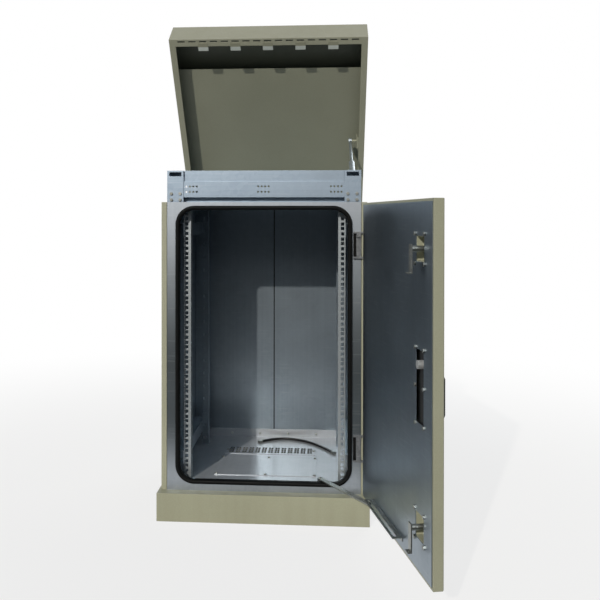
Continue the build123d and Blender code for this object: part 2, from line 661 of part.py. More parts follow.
HEAD_R = 11
COLLAR_R = 10
COLLAR_OUT = 6
LIFT_OUT = 10
LIFT_PIN_R = 2.5
TONGUE = 6
BASE_FACE = DOOR_OUT - BASE_T
COLLAR_Y = PAN_Y - PAD_T + GAP
LIFT_Y = BASE_FACE - LIFT_OUT
with BuildPart() as lock_spindle:
    tip = LINER_Y + COLLAR_OUT
    steps = [(COLLAR_R, tip - COLLAR_Y), (SPINDLE_R, COLLAR_Y - BASE_FACE + GAP)]
    turned(DOOR, (LATCH_X, tip, LOCK_Z), (0, -1, 0), steps)
    with BuildSketch(front_on(DOOR, BASE_FACE - GAP)) as head:
        with Locations((LATCH_X, LOCK_Z)):
            Rectangle(2 * HEAD_R, 2 * HEAD_R)
    extrude(head.sketch, amount=BASE_FACE - GAP - LIFT_Y + TONGUE)
    fork = TONGUE + GAP
    plate(side_on(DOOR, LATCH_X - fork), LIFT_Y - fork, LIFT_Y + fork, LOCK_Z - 2 * HEAD_R,
          LOCK_Z + 2 * HEAD_R, 2 * fork, Mode.SUBTRACT)
    turned(DOOR, (LATCH_X - fork, LIFT_Y, LOCK_Z), (1, 0, 0), [(LIFT_PIN_R, 2 * fork)])
save(lock_spindle.part, "lock_spindle", "lock spindle")

GRIP_W = 26
GRIP_TOP = 16
GRIP_L = 112
GRIP_OUT = 12
GRIP_IN = 5
GRIP_R = 4
with BuildPart() as handle:
    low = LOCK_Z - GRIP_TOP - GRIP_L
    high = LOCK_Z - GRIP_TOP
    with BuildSketch(side_on(DOOR, LATCH_X - GRIP_W / 2)) as grip:
        with BuildLine():
            FilletPolyline(
                (LIFT_Y + GRIP_IN, high), (LIFT_Y - GRIP_IN, high), (LIFT_Y - GRIP_OUT, high - GRIP_TOP),
                (LIFT_Y - GRIP_OUT, low + GRIP_TOP), (LIFT_Y - GRIP_IN, low), (LIFT_Y + GRIP_IN, low),
                radius=GRIP_R, close=True)
        make_face()
    extrude(grip.sketch, amount=GRIP_W)
    with BuildSketch(side_on(DOOR, LATCH_X - TONGUE)) as tongue:
        with Locations((LIFT_Y, LOCK_Z - GRIP_TOP / 2 - GRIP_R)):
            Rectangle(2 * GRIP_IN, GRIP_TOP + 2 * GRIP_R)
        with Locations((LIFT_Y, LOCK_Z)):
            Circle(TONGUE)
            Circle(LIFT_PIN_R + RUN, mode=Mode.SUBTRACT)
    extrude(tongue.sketch, amount=2 * TONGUE)
save(handle.part, "handle", "lifting handle")

NUT_R = 5
NUT_H = 4
LINER_FACE = Plane(origin=DOOR.from_local_coords(Vector(0, LINER_Y, 0)), x_dir=-DOOR.x_dir, z_dir=DOOR.y_dir)
with BuildPart() as latch_nuts:
    with BuildSketch(LINER_FACE) as heads:
        with Locations(*[(-x, z) for x, z in LATCH_SPOTS]):
            with GridLocations(LATCH_WIN_W + CASE_LAP, LATCH_WIN_H + CASE_LAP, 2, 2):
                RegularPolygon(NUT_R, 6)
        with Locations((-LATCH_X, LOCK_WIN_Z)):
            with GridLocations(LOCK_WIN_W + LOCK_LAP, (LOCK_WIN_H + PAD_H) / 2, 2, 3):
                RegularPolygon(NUT_R, 6)
    extrude(heads.sketch, amount=NUT_H)
save(latch_nuts.part, "latch_nuts", "latch and lock nuts")

# Door stay: an arm on the floor whose stud runs under a slotted rail on the door
STAY_X = 167
STAY_Y = 20
STAY_T = 3
STAY_HOLE = 4
STAY_POST = 8
STAY_FOOT = 24
STAY_STUD = 3
ARM_HALF = 8
SLOT_OUT = 15
SLOT_NEAR = 126
SLOT_HALF = 3.5
SLOT_END = 14
SLOT_EDGE = 10
STAY_Z = OPEN_LOW + SEAL_IN + 2
SLOT_Y = LINER_Y + SLOT_OUT
near = DOOR.from_local_coords(Vector(-AXIS_OUT - SLOT_NEAR, SLOT_Y, 0))
run_x = near.X - STAY_X
run_y = near.Y - FRAME_Y - STAY_Y
ARM_L = hypot(run_x, run_y)
STAY_TURN = atan2(run_y, run_x)
STAY = Plane(origin=(STAY_X, FRAME_Y + STAY_Y, 0), x_dir=(cos(STAY_TURN), sin(STAY_TURN), 0), z_dir=(0, 0, 1))
drop = AXIS_Y + SLOT_Y - STAY_Y
SLOT_FAR = AXIS_X - AXIS_OUT - (STAY_X - sqrt(ARM_L ** 2 - drop ** 2))
RAIL_UNDER = STAY_Z + STAY_T + 4
with BuildPart() as stay_bracket:
    plate(plan(CABINET, FLOOR_Z), STAY_X - STAY_FOOT / 2, STAY_X + STAY_FOOT / 2, FLOOR_FRONT,
          STAY_Y + STAY_FOOT / 2, STAY_T)
    base = FLOOR_Z + STAY_T
    steps = [(STAY_POST, STAY_Z - GAP - base), (STAY_HOLE, STAY_T + GAP + STUD_END)]
    turned(CABINET, (STAY_X, STAY_Y, base), (0, 0, 1), steps)
save(stay_bracket.part, "stay_bracket", "stay bracket")

with BuildPart() as stay_arm:
    with BuildSketch(plan(STAY, STAY_Z)) as link:
        with Locations((ARM_L / 2, 0)):
            SlotCenterToCenter(ARM_L, 2 * ARM_HALF)
        Circle(STAY_HOLE + RUN, mode=Mode.SUBTRACT)
    extrude(link.sketch, amount=STAY_T)
    reach = RAIL_UNDER - OPEN_GAP - STAY_Z - STAY_T
    turned(STAY, (ARM_L, 0, STAY_Z + STAY_T), (0, 0, 1), [(STAY_STUD, reach)])
save(stay_arm.part, "stay_arm", "stay arm")

with BuildPart() as stay_rail:
    far = -AXIS_OUT - SLOT_FAR
    close = -AXIS_OUT - SLOT_NEAR
    top = RAIL_UNDER + RAIL_T
    run = [(SLOT_Y + SLOT_EDGE, top), (LINER_Y, top), (LINER_Y, STAY_Z + OPEN_GAP)]
    folded(side_on(DOOR, far - SLOT_END), run, RAIL_T, close - far + 2 * SLOT_END)
    with BuildSketch(plan(DOOR, top)) as slot:
        with Locations(((far + close) / 2, SLOT_Y)):
            SlotCenterToCenter(close - far, 2 * SLOT_HALF)
    extrude(slot.sketch, amount=-RAIL_T, mode=Mode.SUBTRACT)
save(stay_rail.part, "stay_rail", "slotted stay rail")

# Hood: a painted pan bent on four sides and lipped inwards, with air slots along the front lip
HOOD_EDGE = HOOD_W / 2 - HOOD_SIDE_LIP
with BuildPart() as hood_shell:
    upwards = Axis(HOOD.origin, HOOD.z_dir)
    plate(plan(HOOD, 0), -HOOD_W / 2, HOOD_W / 2, -HOOD_L, HOOD_BACK, HOOD_H)
    fillet(hood_shell.faces().sort_by(upwards)[-1].edges(), BEND)
    offset(amount=-SKIN, openings=hood_shell.faces().sort_by(upwards)[0])
    with BuildSketch(plan(HOOD, 0)) as lips:
        with Locations((0, HOOD_MID)):
            Rectangle(HOOD_W, HOOD_D)
        with Locations((0, HOOD_MID + (HOOD_FRONT_LIP - HOOD_SIDE_LIP) / 2)):
            Rectangle(2 * HOOD_EDGE, HOOD_D - HOOD_FRONT_LIP - HOOD_SIDE_LIP, mode=Mode.SUBTRACT)
        with Locations((0, SLOT_IN - HOOD_L)):
            with GridLocations(SLOT_STEP, 1, SLOTS, 1):
                Rectangle(SLOT_L, SLOT_W, mode=Mode.SUBTRACT)
    extrude(lips.sketch, amount=SKIN)
save(hood_shell.part, "hood_shell", "painted hood")

# Inner skin of the hood, cut short of the header, with its flanges on the side walls
LINER_FLANGE = 20
LINER_CLEAR = 10
HOOD_LINER_L = HOOD_Y - POST_D - LINER_CLEAR
with BuildPart() as hood_liner:
    wide = HOOD_W / 2 - SKIN - GAP
    back = HOOD_BACK - SKIN - GAP
    high = HOOD_LINER_UP + LINER_FLANGE
    run = [(-wide, high), (-wide, HOOD_LINER_UP), (wide, HOOD_LINER_UP), (wide, high)]
    folded(front_on(HOOD, -HOOD_LINER_L), run, SHEET, -HOOD_LINER_L - back)
save(hood_liner.part, "hood_liner", "inner skin of the hood")

CLIP_STEP = 3 * SLOT_STEP
CLIPS = 5
CLIP_W = 32
CLIP_T = 1.2
CLIP_LAP = 9
CLIP_OUT = 15
CLIP_UP = 6
with BuildPart() as hood_clips:
    lip = HOOD_FRONT_LIP - HOOD_L
    run = [(lip - CLIP_LAP, -CLIP_T), (lip + CLIP_OUT, -CLIP_T), (lip + CLIP_OUT, CLIP_UP)]
    for n in range(CLIPS):
        middle = (n - (CLIPS - 1) / 2) * CLIP_STEP
        folded(side_on(HOOD, middle - CLIP_W / 2), run, CLIP_T, CLIP_W)
save(hood_clips.part, "hood_clips", "hood edge clips")

# Hood hinges on the rear panel: the fixed leaf's pin runs through the moving leaf's knuckle
HOOD_HINGE_X = 200
HINGE_HALF = 30
LEAF_DOWN = 38
LEAF_UP = 40
LEAF_CLEAR = 5.5
NECK = 1
with BuildPart() as hood_fixed_leaves:
    for x in (-HOOD_HINGE_X, HOOD_HINGE_X):
        leaf_top = HOOD_Z - LEAF_CLEAR
        leaf_low = BODY_TOP - LEAF_DOWN
        plate(front_on(CABINET, BODY_D), x - HINGE_HALF, x + HINGE_HALF, leaf_low, leaf_top, -LEAF)
        with BuildSketch(side_on(CABINET, x - HINGE_HALF)) as knuckle:
            with BuildLine():
                Polyline(
                    (BODY_D, leaf_top - LEAF), (BODY_D + LEAF, leaf_top - LEAF), (HOOD_Y, HOOD_Z - KNUCKLE_R),
                    (HOOD_Y, HOOD_Z - NECK), (BODY_D, HOOD_Z - NECK), close=True)
            make_face()
            with Locations((HOOD_Y, HOOD_Z)):
                Circle(KNUCKLE_R)
        extrude(knuckle.sketch, amount=HINGE_HALF - GAP / 2)
        turned(CABINET, (x - HINGE_HALF, HOOD_Y, HOOD_Z), (1, 0, 0), [(PIN_R, 2 * HINGE_HALF + NECK)])
save(hood_fixed_leaves.part, "hood_fixed_leaves", "fixed leaves of the hood hinges with their pins")

with BuildPart() as hood_moving_leaves:
    for x in (-HOOD_HINGE_X, HOOD_HINGE_X):
        low = KNUCKLE_R + 1.5
        plate(front_on(HOOD, HOOD_BACK), x - HINGE_HALF, x + HINGE_HALF, low, LEAF_UP, -LEAF)
        with BuildSketch(side_on(HOOD, x + GAP / 2)) as knuckle:
            with BuildLine():
                Polyline(
                    (HOOD_BACK, NECK / 2), (HOOD_BACK + LEAF + NECK, NECK / 2), (HOOD_BACK + LEAF, low),
                    (HOOD_BACK, low), close=True)
            make_face()
            Circle(KNUCKLE_R)
            Circle(PIN_R + RUN, mode=Mode.SUBTRACT)
        extrude(knuckle.sketch, amount=HINGE_HALF - GAP / 2)
save(hood_moving_leaves.part, "hood_moving_leaves", "moving leaves of the hood hinges")

# Gas strut that holds the hood open
STRUT_S = 0.4727 * BODY_D
STRUT_N = 16
TUBE_R = 9
ROD_R = 4.8
TUBE_SHORT = 8
EYE_LAP = 2
ROD_IN = 20
TUBE_BLIND = 25
BRACKET_L = 40
BRACKET_UP = 12
BRACKET_IN = 6
with BuildPart() as strut_bracket:
    edge = HOOD_EDGE - BRACKET_IN
    run = [(edge, STRUT_N + BRACKET_UP), (edge, SKIN), (HOOD_W / 2 - BRACKET_IN, SKIN)]
    folded(front_on(HOOD, -STRUT_S - BRACKET_L / 2), run, RAIL_T, -BRACKET_L)
    reach = edge - STRUT_X - EYE_T / 2 - OPEN_GAP
    turned(HOOD, (edge, -STRUT_S, STRUT_N), (-1, 0, 0), [(STUD_R, reach)])
save(strut_bracket.part, "strut_bracket", "strut bracket on the hood")


def strut_reach(angle):
    """Depth and height from the lower stud to the upper one at a hood angle."""
    y = HOOD_Y - STRUT_S * cos(angle) + STRUT_N * sin(angle) - STUD_Y
    z = HOOD_Z + STRUT_S * sin(angle) + STRUT_N * cos(angle) - STUD_Z
    return y, z


open_y, open_z = strut_reach(TILT)
shut_y, shut_z = strut_reach(0)
STRUT_LONG = hypot(open_y, open_z)
STRUT_SHORT = hypot(shut_y, shut_z)
LEAN = atan2(open_z, open_y)
STRUT = Plane(origin=(STRUT_X, FRAME_Y + STUD_Y, STUD_Z), x_dir=(1, 0, 0), z_dir=(0, -sin(LEAN), cos(LEAN)))
STROKE = STRUT_LONG - STRUT_SHORT
TUBE_END = STRUT_SHORT - EYE_R - TUBE_SHORT
TUBE_START = EYE_R - EYE_LAP / 2
with BuildPart() as strut_cylinder:
    turned(STRUT, (0, TUBE_START, 0), (0, 1, 0), [(TUBE_R, TUBE_END - TUBE_START)])
    with BuildSketch(side_on(STRUT, -EYE_T / 2)) as eye:
        Circle(EYE_R)
    extrude(eye.sketch, amount=EYE_T)
    with BuildSketch(side_on(STRUT, -EYE_T / 2)) as pivot:
        Circle(STUD_R + RUN)
    extrude(pivot.sketch, amount=EYE_T, mode=Mode.SUBTRACT)
    with BuildSketch(front_on(STRUT, TUBE_END)) as bore:
        Circle(ROD_R + RUN)
    extrude(bore.sketch, amount=STROKE + TUBE_BLIND, mode=Mode.SUBTRACT)
save(strut_cylinder.part, "strut_cylinder", "gas strut cylinder")

with BuildPart() as strut_rod:
    start = TUBE_END - ROD_IN
    turned(STRUT, (0, start, 0), (0, 1, 0), [(ROD_R, STRUT_LONG - EYE_R + EYE_LAP - start)])
    with BuildSketch(side_on(STRUT, -EYE_T / 2)) as eye:
        with Locations((STRUT_LONG, 0)):
            Circle(EYE_R)
            Circle(STUD_R + OPEN_GAP, mode=Mode.SUBTRACT)
    extrude(eye.sketch, amount=EYE_T)
save(strut_rod.part, "strut_rod", "gas strut rod")

# Earth lead lying on the floor, with a crimped lug at each end
LEAD_R = 4
LUG_W = 12
LUG_L = 14
LEAD_Z = FLOOR_Z + LEAD_R
LEAD = [(-37, 432), (18, 480), (96, 458), (160, 400), (206, 322)]
lead_points = [Vector(x, FRAME_Y + y, LEAD_Z) for x, y in LEAD]
lead_radii = []
for before, here, after in zip(lead_points, lead_points[1:], lead_points[2:]):
    leg = min((here - before).length, (after - here).length)
    bend = radians((here - before).get_angle(after - here))
    lead_radii.append(0.45 * leg / tan(bend / 2))
with BuildPart() as earth_lead:
    with BuildLine():
        FilletPolyline(*lead_points, radius=lead_radii)
    with BuildSketch(Plane(origin=lead_points[0], z_dir=lead_points[1] - lead_points[0])):
        RegularPolygon(LEAD_R, 8)
    sweep()
save(earth_lead.part, "earth_lead", "earth lead")

with BuildPart() as lead_lugs:
    for end, inner in ((lead_points[0], lead_points[1]), (lead_points[-1], lead_points[-2])):
        way = (end - inner).normalized()
        with BuildSketch(Plane(origin=end + way * GAP, z_dir=way)) as barrel:
            Rectangle(LUG_W, 2 * LEAD_R)
        extrude(barrel.sketch, amount=LUG_L)
save(lead_lugs.part, "lead_lugs", "crimped lugs of the earth lead")
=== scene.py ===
import math

import bmesh
import bpy
from mathutils import Matrix, Vector


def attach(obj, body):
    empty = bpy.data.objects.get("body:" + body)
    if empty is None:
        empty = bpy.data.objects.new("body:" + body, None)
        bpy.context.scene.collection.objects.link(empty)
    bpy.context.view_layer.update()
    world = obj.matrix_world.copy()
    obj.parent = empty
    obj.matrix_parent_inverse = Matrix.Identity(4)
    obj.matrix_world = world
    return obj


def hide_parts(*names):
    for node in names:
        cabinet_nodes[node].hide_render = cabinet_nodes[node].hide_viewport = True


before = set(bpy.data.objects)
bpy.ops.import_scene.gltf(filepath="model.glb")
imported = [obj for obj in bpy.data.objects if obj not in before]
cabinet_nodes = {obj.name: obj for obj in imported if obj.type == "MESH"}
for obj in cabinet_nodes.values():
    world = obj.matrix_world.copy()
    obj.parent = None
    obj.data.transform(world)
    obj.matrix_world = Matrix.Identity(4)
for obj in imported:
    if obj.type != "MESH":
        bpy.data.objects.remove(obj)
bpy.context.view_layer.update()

IMAGE = 600
MM = 0.001
X_AXIS, Y_AXIS, Z_AXIS = range(3)
# How far the hood stands open at rest
HOOD_OPEN = math.radians(52.5)

# Settings of shader nodes that many finishes share
COLOUR = {"data_type": "RGBA"}
TIMES = {"operation": "MULTIPLY"}
TIMES_PLUS = {"operation": "MULTIPLY_ADD"}
LARGER = {"operation": "MAXIMUM"}
DOT = {"operation": "DOT_PRODUCT"}
SMOOTH = {"interpolation_type": "SMOOTHSTEP"}


def linear(hex_colour):
    """An sRGB hex colour as linear RGBA."""
    parts = [int(hex_colour[i:i + 2], 16) / 255 for i in (1, 3, 5)]
    light = [c / 12.92 if c <= 0.04045 else ((c + 0.055) / 1.055) ** 2.4 for c in parts]
    return (*light, 1.0)


def per_metre(millimetres):
    """The texture scale that gives a pattern this many millimetres across."""
    return 1000 / millimetres


def plug(tree, node, sockets):
    """Sets a node's input sockets to constants, or links them to other nodes' outputs."""
    for name, value in sockets.items():
        if isinstance(value, bpy.types.NodeSocket):
            tree.links.new(value, node.inputs[name])
        else:
            node.inputs[name].default_value = value


def add(tree, kind, settings=None, sockets=None):
    """Adds a shader node with its settings, and its sockets set or linked."""
    made = tree.nodes.new("ShaderNode" + kind)
    for name, value in (settings or {}).items():
        setattr(made, name, value)
    plug(tree, made, sockets or {})
    return made


def finish_named(name):
    """A new material with its tree, its shader and the coordinates in metres that all pieces share at rest."""
    material = bpy.data.materials.new(name)
    material.use_nodes = True
    tree = material.node_tree
    shader = tree.nodes["Principled BSDF"]
    place = add(tree, "TexCoord").outputs["Object"]
    return material, tree, shader, place


def stretched(tree, place, scale):
    """Coordinates scaled per axis, for a grain that runs one way."""
    return add(tree, "Mapping", None, {"Vector": place, "Scale": scale}).outputs["Vector"]


def pebble_grey_powder_coat(name, colour, shade, grime, shaded_from=None):
    """Polyester powder baked on steel sheet: satin, with a fine orange peel, paler along rubbed edges and
    dusty low down where rain splashes. Faces that look towards shaded_from are painted dark green-grey:
    painted shade inside the hollow of a pan."""
    material, tree, shader, place = finish_named(name)
    cloud = add(tree, "TexNoise", None, {"Vector": place, "Scale": per_metre(260), "Detail": 3.0})
    fleck = add(tree, "TexNoise", None, {"Vector": place, "Scale": per_metre(2.4), "Detail": 2.0})
    runs = stretched(tree, place, (per_metre(28), per_metre(28), per_metre(420)))
    streak = add(tree, "TexNoise", None, {"Vector": runs, "Scale": 1.0, "Detail": 3.0})
    tone = add(tree, "MapRange", None, {"Value": cloud.outputs["Fac"], "From Min": 0.3, "From Max": 0.7})
    body = add(tree, "Mix", COLOUR,
               {"Factor": tone.outputs["Result"], "A": linear(shade), "B": linear(colour)})
    speck = add(tree, "MapRange", None, {"Value": fleck.outputs["Fac"], "From Min": 0.35, "From Max": 0.65,
                                         "To Min": 0.95, "To Max": 1.03})
    speckled = add(tree, "Mix", {"data_type": "RGBA", "blend_type": "MULTIPLY"},
                   {"Factor": 1.0, "A": body.outputs["Result"], "B": speck.outputs["Result"]})
    # The bevel's normal leaves the face's own normal only along edges, where handling polishes the coat.
    rounded = add(tree, "Bevel", {"samples": 4}, {"Radius": 2.2 * MM})
    flat = add(tree, "NewGeometry").outputs["Normal"]
    along = add(tree, "VectorMath", DOT, {0: rounded.outputs["Normal"], 1: flat})
    rub = add(tree, "MapRange", None,
              {"Value": along.outputs["Value"], "From Min": 0.99, "From Max": 0.80, "To Max": 0.35})
    rubbed = add(tree, "Mix", COLOUR,
                 {"Factor": rub.outputs["Result"], "A": speckled.outputs["Result"], "B": linear("#B9B9A2")})
    height = add(tree, "SeparateXYZ", None, {"Vector": place}).outputs["Z"]
    low = add(tree, "MapRange", None, {"Value": height, "From Min": 0.16, "From Max": 0.0, "To Max": grime})
    splash = add(tree, "Math", TIMES, {0: low.outputs["Result"], 1: streak.outputs["Fac"]})
    dusty = add(tree, "Mix", COLOUR,
                {"Factor": splash.outputs["Value"], "A": rubbed.outputs["Result"], "B": linear("#6F6A55")})
    coat = dusty.outputs["Result"]
    # Painted shade: faces turned towards this point inside the hollow get the darker #575C4F.
    if shaded_from:
        inward = add(tree, "VectorMath", {"operation": "SUBTRACT"}, {0: shaded_from, 1: place}).outputs["Vector"]
        facing = add(tree, "VectorMath", DOT,
                     {0: inward, 1: add(tree, "TexCoord").outputs["Normal"]}).outputs["Value"]
        inside = add(tree, "Math", {"operation": "GREATER_THAN"}, {0: facing, 1: 0.0}).outputs["Value"]
        coat = add(tree, "Mix", COLOUR,
                   {"Factor": inside, "A": coat, "B": linear("#575C4F")}).outputs["Result"]
    gloss = add(tree, "MapRange", None, {"Value": streak.outputs["Fac"], "From Min": 0.3, "From Max": 0.7,
                                         "To Min": 0.40, "To Max": 0.52})
    peel = add(tree, "TexNoise", None, {"Vector": place, "Scale": per_metre(3.2), "Detail": 1.0})
    skin = add(tree, "Bump", None, {"Height": peel.outputs["Fac"], "Strength": 0.10, "Distance": 0.3 * MM,
                                    "Normal": rounded.outputs["Normal"]})
    plug(tree, shader, {"Base Color": coat, "Roughness": gloss.outputs["Result"],
                        "Normal": skin.outputs["Normal"]})
    return material


def bright_galvanised_sheet(name, colour, dull, roughness, rolled, metal, spangled, dark_reflection=0.0):
    """Continuously galvanised steel sheet: a semi-mirror of zinc crystals a finger wide, with faint rolling
    lines along one axis and the light scratches of handling. A thin oxide film greys it between them, so that
    metal is the share of bare zinc, and dark_reflection paints it darker below the top as painted reflection."""
    material, tree, shader, place = finish_named(name)
    spangle = add(tree, "TexVoronoi", {"feature": "F1"},
                  {"Vector": place, "Scale": per_metre(14), "Randomness": 1.0})
    crystal = add(tree, "SeparateColor", None, {"Color": spangle.outputs["Color"]}).outputs["Red"]
    lines = [per_metre(7)] * 3
    lines[rolled] = per_metre(900)
    rolling = add(tree, "TexNoise", None,
                  {"Vector": stretched(tree, place, lines), "Scale": 1.0, "Detail": 2.0}).outputs["Fac"]
    cloud = add(tree, "TexNoise", None,
                {"Vector": place, "Scale": per_metre(190), "Detail": 3.0}).outputs["Fac"]
    spangle_film = add(tree, "Math", TIMES_PLUS, {0: crystal, 1: spangled, 2: cloud}).outputs["Value"]
    film = add(tree, "Math", TIMES_PLUS, {0: rolling, 1: 0.30, 2: spangle_film}).outputs["Value"]
    tone = add(tree, "MapRange", None, {"Value": film, "From Min": 0.42, "From Max": 0.92}).outputs["Result"]
    body = add(tree, "Mix", COLOUR, {"Factor": tone, "A": linear(dull), "B": linear(colour)})
    height = add(tree, "SeparateXYZ", None, {"Vector": place}).outputs["Z"]
    # Painted reflection: lower down the sheet is darkened towards #4C5458, as if mirroring dark ground.
    low = add(tree, "MapRange", SMOOTH,
              {"Value": height, "From Min": 0.93, "From Max": 0.42, "To Max": dark_reflection}).outputs["Result"]
    # Close above the plinth the painted reflection fades and the sheet is lighter again.
    reflection_lift = add(tree, "MapRange", SMOOTH,
                 {"Value": height, "From Min": 0.09, "From Max": 0.30,
                  "To Min": 0.25, "To Max": 1.0}).outputs["Result"]
    reflection_share = add(tree, "Math", TIMES, {0: low, 1: reflection_lift}).outputs["Value"]
    reflection_darkened = add(tree, "Mix", COLOUR,
                    {"Factor": reflection_share, "A": body.outputs["Result"], "B": linear("#4C5458")})
    # Handling scratches, hair-fine in life, are drawn 5 mm wide so that they show in the render.
    grazes = stretched(tree, place, (per_metre(80), per_metre(80), per_metre(5)))
    scratch = add(tree, "TexNoise", None, {"Vector": grazes, "Scale": 1.0, "Detail": 0.0}).outputs["Fac"]
    nick = add(tree, "MapRange", None,
               {"Value": scratch, "From Min": 0.66, "From Max": 0.80, "To Max": 0.08}).outputs["Result"]
    scuffed = add(tree, "Mix", COLOUR,
                  {"Factor": nick, "A": reflection_darkened.outputs["Result"], "B": linear("#DDE2E6")})
    # The denoiser takes anything smoother than about 0.27 for a mirror, so each finish stays on one side of it.
    satin = add(tree, "MapRange", None, {"Value": spangle_film, "From Min": 0.25, "From Max": 0.85,
                                         "To Min": roughness + 0.06, "To Max": roughness - 0.05})
    rounded = add(tree, "Bevel", {"samples": 4}, {"Radius": 0.9 * MM})
    bump = add(tree, "Bump", None, {"Height": rolling, "Strength": 0.02, "Distance": 0.2 * MM,
                                    "Normal": rounded.outputs["Normal"]})
    plug(tree, shader, {"Base Color": scuffed.outputs["Result"], "Metallic": metal,
                        "Roughness": satin.outputs["Result"], "Normal": bump.outputs["Normal"]})
    return material


def zinc_plated_steel(name, colour, tint, roughness, metal=1.0):
    """Barrel-plated hardware: bright zinc with a faint passivation tint, rubbed smoother on its edges."""
    material, tree, shader, place = finish_named(name)
    cloud = add(tree, "TexNoise", None, {"Vector": place, "Scale": per_metre(11), "Detail": 4.0})
    grit = add(tree, "TexNoise", None, {"Vector": place, "Scale": per_metre(0.9), "Detail": 2.0})
    tone = add(tree, "MapRange", None, {"Value": cloud.outputs["Fac"], "From Min": 0.35, "From Max": 0.65})
    body = add(tree, "Mix", COLOUR,
               {"Factor": tone.outputs["Result"], "A": linear(tint), "B": linear(colour)})
    satin = add(tree, "MapRange", None, {"Value": grit.outputs["Fac"], "From Min": 0.3, "From Max": 0.7,
                                         "To Min": roughness - 0.06, "To Max": roughness + 0.12})
    rounded = add(tree, "Bevel", {"samples": 4}, {"Radius": 0.6 * MM})
    bump = add(tree, "Bump", None, {"Height": grit.outputs["Fac"], "Strength": 0.12, "Distance": 0.1 * MM,
                                    "Normal": rounded.outputs["Normal"]})
    plug(tree, shader, {"Base Color": body.outputs["Result"], "Metallic": metal,
                        "Roughness": satin.outputs["Result"], "Normal": bump.outputs["Normal"]})
    return material


def lip_split_spring_clips(name, colour, coat, lip):
    """Spring clips coloured like the hood's coat up to its lip; only the tongues beyond it are bright steel."""
    material, tree, shader, place = finish_named(name)
    to_hinges = (0.0, math.cos(HOOD_OPEN), -math.sin(HOOD_OPEN))
    reach = add(tree, "VectorMath", DOT, {0: place, 1: to_hinges})
    bare = add(tree, "MapRange", None,
               {"Value": reach.outputs["Value"], "From Min": lip - 1 * MM, "From Max": lip + 1 * MM})
    grit = add(tree, "TexNoise", None, {"Vector": place, "Scale": per_metre(1.2), "Detail": 2.0}).outputs["Fac"]
    steel = add(tree, "Mix", COLOUR, {"Factor": grit, "A": linear("#AEB5AE"), "B": linear(colour)})
    body = add(tree, "Mix", COLOUR,
               {"Factor": bare.outputs["Result"], "A": linear(coat), "B": steel.outputs["Result"]})
    bright = add(tree, "Math", TIMES, {0: bare.outputs["Result"], 1: 0.35}).outputs["Value"]
    satin = add(tree, "MapRange", None,
                {"Value": grit, "From Min": 0.3, "From Max": 0.7, "To Min": 0.38, "To Max": 0.52})
    plug(tree, shader, {"Base Color": body.outputs["Result"], "Metallic": bright,
                        "Roughness": satin.outputs["Result"]})
    return material


def moulded_black(name, colour, chalk, roughness, grain, depth, sheen=0.4):
    """Black rubber, sheath or nylon straight from the mould: a fine grain, chalky where it has been rubbed."""
    material, tree, shader, place = finish_named(name)
    cloud = add(tree, "TexNoise", None, {"Vector": place, "Scale": per_metre(35), "Detail": 4.0})
    grit = add(tree, "TexNoise", None, {"Vector": place, "Scale": per_metre(grain), "Detail": 2.0})
    bloom = add(tree, "MapRange", None, {"Value": cloud.outputs["Fac"], "From Min": 0.45, "From Max": 0.75})
    body = add(tree, "Mix", COLOUR,
               {"Factor": bloom.outputs["Result"], "A": linear(colour), "B": linear(chalk)})
    satin = add(tree, "MapRange", None, {"Value": cloud.outputs["Fac"], "From Min": 0.3, "From Max": 0.7,
                                         "To Min": roughness - 0.07, "To Max": roughness + 0.1})
    bump = add(tree, "Bump", None, {"Height": grit.outputs["Fac"], "Strength": 0.25, "Distance": depth * MM})
    plug(tree, shader, {"Base Color": body.outputs["Result"], "Specular IOR Level": sheen,
                        "Roughness": satin.outputs["Result"], "Normal": bump.outputs["Normal"]})
    return material


# A point inside the raised hood, and where its front lip ends along the slope to the hinges, in metres
HOOD_HOLLOW = (0.0, 0.10, 1.24)
HOOD_LIP = -1.183
paint = pebble_grey_powder_coat("pebble_grey_powder_coat", "#A5A690", "#9D9E88", 0.0)
plinth_paint = pebble_grey_powder_coat("plinth_powder_coat", "#A5A68F", "#9D9E87", 0.35)
# The hood's coat is painted darker on the faces inside its hollow: painted shade.
hood_paint = pebble_grey_powder_coat("hood_powder_coat", "#979885", "#90917E", 0.0, HOOD_HOLLOW)
# The hood liner has the same pebble grey coat, painted darker as shade under the raised hood.
hood_liner_shaded_paint = pebble_grey_powder_coat("hood_liner_shaded_coat", "#8C8E7C", "#858775", 0.0)
wall_zinc = bright_galvanised_sheet(
    "galvanised_inner_walls", "#A4B0B9", "#8D99A3", 0.335, Z_AXIS, 1.0, 0.10)
floor_zinc = bright_galvanised_sheet(
    "galvanised_floor", "#D3D8DD", "#BFC5CC", 0.20, Y_AXIS, 0.55, 0.10)
# The front frame is painted darker from its top down to just above the plinth: painted reflection.
frame_zinc = bright_galvanised_sheet(
    "galvanised_front_frame", "#B4BBC3", "#9DA5AE", 0.43, Z_AXIS, 0.94, 0.14, 0.9)
header_zinc = bright_galvanised_sheet(
    "galvanised_header", "#9EADBC", "#8897A7", 0.44, X_AXIS, 0.94, 0.20)
liner_zinc = bright_galvanised_sheet(
    "galvanised_door_liner", "#929EA8", "#808C96", 0.335, Z_AXIS, 1.0, 0.06)
rail_zinc = bright_galvanised_sheet(
    "galvanised_rack_rails", "#AAB1B4", "#969DA1", 0.46, Z_AXIS, 0.88, 0.10)
hardware = zinc_plated_steel("zinc_plated_hardware", "#A6A9A6", "#8E918C", 0.36)
